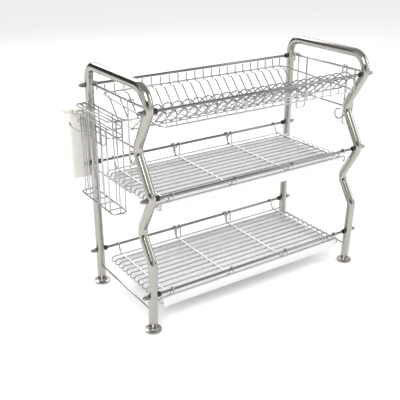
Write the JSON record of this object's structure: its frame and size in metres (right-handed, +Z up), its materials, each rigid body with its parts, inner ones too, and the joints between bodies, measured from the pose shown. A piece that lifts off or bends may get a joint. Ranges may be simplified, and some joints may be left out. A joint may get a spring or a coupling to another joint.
{
  "type": "dish drying rack",
  "caption": "Freestanding bent-tube dish rack with a wire plate tier, two wire shelves over sliding drip trays, and a cutlery basket, cup and board holder hung on its sides.",
  "frame": {"origin": "on the table, at the centre of the bounding box's base", "axes": "+X to the rack's right as seen from the front, -Y to the front, +Z up"},
  "size_m": [0.6298, 0.3108, 0.5149],
  "materials": {
    "brushed_tube": "brushed stainless tube",
    "polished_wire": "polished stainless wire",
    "dark_rod": "polished rod and cap nuts",
    "black_collar": "black nylon",
    "white_tray": "frosted white plastic",
    "cream_cup": "glossy cream plastic"
  },
  "bodies": {
    "rack": {"bottom_front_rod": "dark_rod", "bottom_rear_clip_1": "polished_wire", "bottom_rear_clip_2": "polished_wire", "bottom_rear_rod": "dark_rod", "left_bottom_front_cap_nut": "dark_rod", "left_bottom_front_collar": "black_collar", "left_bottom_rear_cap_nut": "dark_rod", "left_bottom_rear_collar": "black_collar", "left_curled_hook": "polished_wire", "left_front_foot": "brushed_tube", "left_lower_brace": "polished_wire", "left_middle_front_cap_nut": "dark_rod", "left_middle_front_collar": "black_collar", "left_middle_rear_cap_nut": "dark_rod", "left_middle_rear_collar": "black_collar", "left_rail": "polished_wire", "left_rear_foot": "brushed_tube", "left_side_frame": "brushed_tube", "left_top_front_cap_nut": "dark_rod", "left_top_front_collar": "black_collar", "left_top_rear_cap_nut": "dark_rod", "left_top_rear_collar": "black_collar", "left_upper_brace": "polished_wire", "middle_front_rod": "dark_rod", "middle_rear_clip_1": "polished_wire", "middle_rear_clip_2": "polished_wire", "middle_rear_rod": "dark_rod", "plate_rack": "polished_wire", "right_bottom_front_cap_nut": "dark_rod", "right_bottom_front_collar": "black_collar", "right_bottom_rear_cap_nut": "dark_rod", "right_bottom_rear_collar": "black_collar", "right_curled_hook": "polished_wire", "right_front_foot": "brushed_tube", "right_lower_brace": "polished_wire", "right_middle_front_cap_nut": "dark_rod", "right_middle_front_collar": "black_collar", "right_middle_rear_cap_nut": "dark_rod", "right_middle_rear_collar": "black_collar", "right_rail": "polished_wire", "right_rear_foot": "brushed_tube", "right_side_frame": "brushed_tube", "right_top_front_cap_nut": "dark_rod", "right_top_front_collar": "black_collar", "right_top_rear_cap_nut": "dark_rod", "right_top_rear_collar": "black_collar", "right_upper_brace": "polished_wire", "top_front_rod": "dark_rod", "top_rear_rod": "dark_rod"},
    "middle_shelf": {"middle_shelf": "polished_wire"},
    "bottom_shelf": {"bottom_shelf": "polished_wire"},
    "middle_drip_tray": {"middle_drip_tray": "white_tray"},
    "bottom_drip_tray": {"bottom_drip_tray": "white_tray"},
    "cutlery_basket": {"cutlery_basket": "polished_wire"},
    "utensil_cup": {"utensil_cup": "cream_cup"},
    "board_holder": {"board_holder": "polished_wire"}
  },
  "joints": [
    {"name": "middle_shelf_lift", "type": "slide", "parent": "rack", "child": "middle_shelf", "axis": [0, 0, 1], "range_m": [0, 0.05]},
    {"name": "bottom_shelf_lift", "type": "slide", "parent": "rack", "child": "bottom_shelf", "axis": [0, 0, 1], "range_m": [0, 0.05]},
    {"name": "middle_tray_slide", "type": "slide", "parent": "middle_shelf", "child": "middle_drip_tray", "axis": [0, -1, 0], "range_m": [0, 0.2]},
    {"name": "bottom_tray_slide", "type": "slide", "parent": "bottom_shelf", "child": "bottom_drip_tray", "axis": [0, -1, 0], "range_m": [0, 0.2]},
    {"name": "cutlery_basket_lift", "type": "slide", "parent": "rack", "child": "cutlery_basket", "axis": [0, 0, 1], "range_m": [0, 0.016]},
    {"name": "utensil_cup_lift", "type": "slide", "parent": "cutlery_basket", "child": "utensil_cup", "axis": [0, 0, 1], "range_m": [0, 0.15]},
    {"name": "board_holder_lift", "type": "slide", "parent": "rack", "child": "board_holder", "axis": [0, 0, 1], "range_m": [0, 0.016]}
  ]
}
